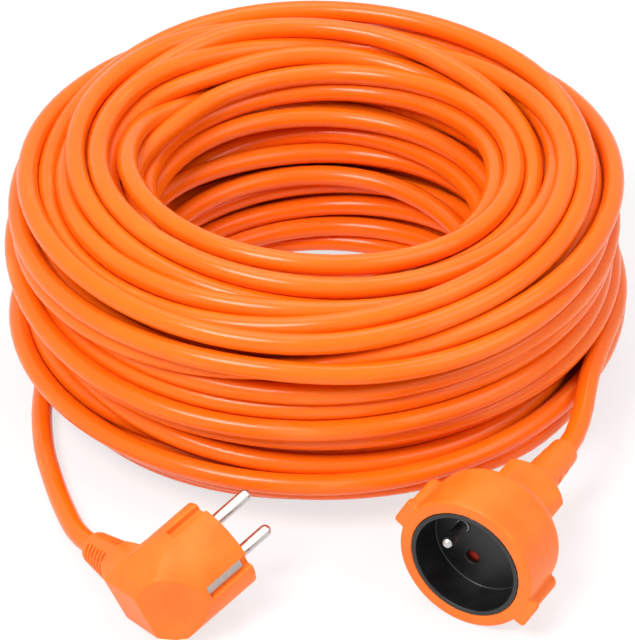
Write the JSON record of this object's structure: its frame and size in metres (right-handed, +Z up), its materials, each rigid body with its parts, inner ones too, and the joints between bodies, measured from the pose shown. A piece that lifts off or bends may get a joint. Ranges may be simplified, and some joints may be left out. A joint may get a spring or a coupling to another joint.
{
  "type": "extension cord",
  "caption": "Coiled three-core extension cord with an angled earthed plug and a round trailing socket with a sprung shutter.",
  "frame": {"origin": "on the floor under the middle of the whole object", "axes": "+Z up; +Y from the plug and socket towards the coil; +X to the right, on the socket's side"},
  "size_m": [0.2442, 0.3096, 0.1016],
  "materials": {
    "cable": "smooth orange PVC sheath",
    "overmould": "fine satin orange PVC",
    "black_plastic": "satin",
    "carrier_plastic": "plain",
    "nickel": "nickel plated",
    "brass": "plain",
    "spring_steel": "plain",
    "shutter_red": "satin",
    "wire_brown": "plain",
    "wire_blue": "plain",
    "wire_green_yellow": "plain"
  },
  "bodies": {
    "cord": {"coil_core": "cable", "coil_upper_turns": "cable", "coil_lower_turns": "cable", "plug_lead": "cable", "socket_lead": "cable", "plug_body": "overmould", "plug_bridge": "carrier_plastic", "plug_pin_line": "nickel", "plug_pin_neutral": "nickel", "plug_earth_strap": "nickel", "plug_earth_contact": "brass", "plug_crimp_line": "brass", "plug_crimp_neutral": "brass", "plug_wire_brown": "wire_brown", "plug_wire_blue": "wire_blue", "plug_wire_earth": "wire_green_yellow", "plug_cable_end": "cable", "socket_body": "overmould", "socket_insert": "black_plastic", "socket_earth_pin": "nickel", "socket_contact_line": "brass", "socket_contact_neutral": "brass", "contact_carrier": "carrier_plastic", "shutter_spring": "spring_steel", "socket_wire_brown": "wire_brown", "socket_wire_blue": "wire_blue", "socket_wire_earth": "wire_green_yellow", "socket_cable_end": "cable"},
    "shutter": {"socket_shutter": "shutter_red"}
  },
  "joints": [
    {"name": "shutter_slide", "type": "slide", "parent": "cord", "child": "shutter", "axis": [0.7647, -0.4415, -0.4695], "range_m": [0, 0.0065], "stiffness_N_per_m": 120, "springref_m": -0.003, "deforming": ["shutter_spring"]}
  ]
}
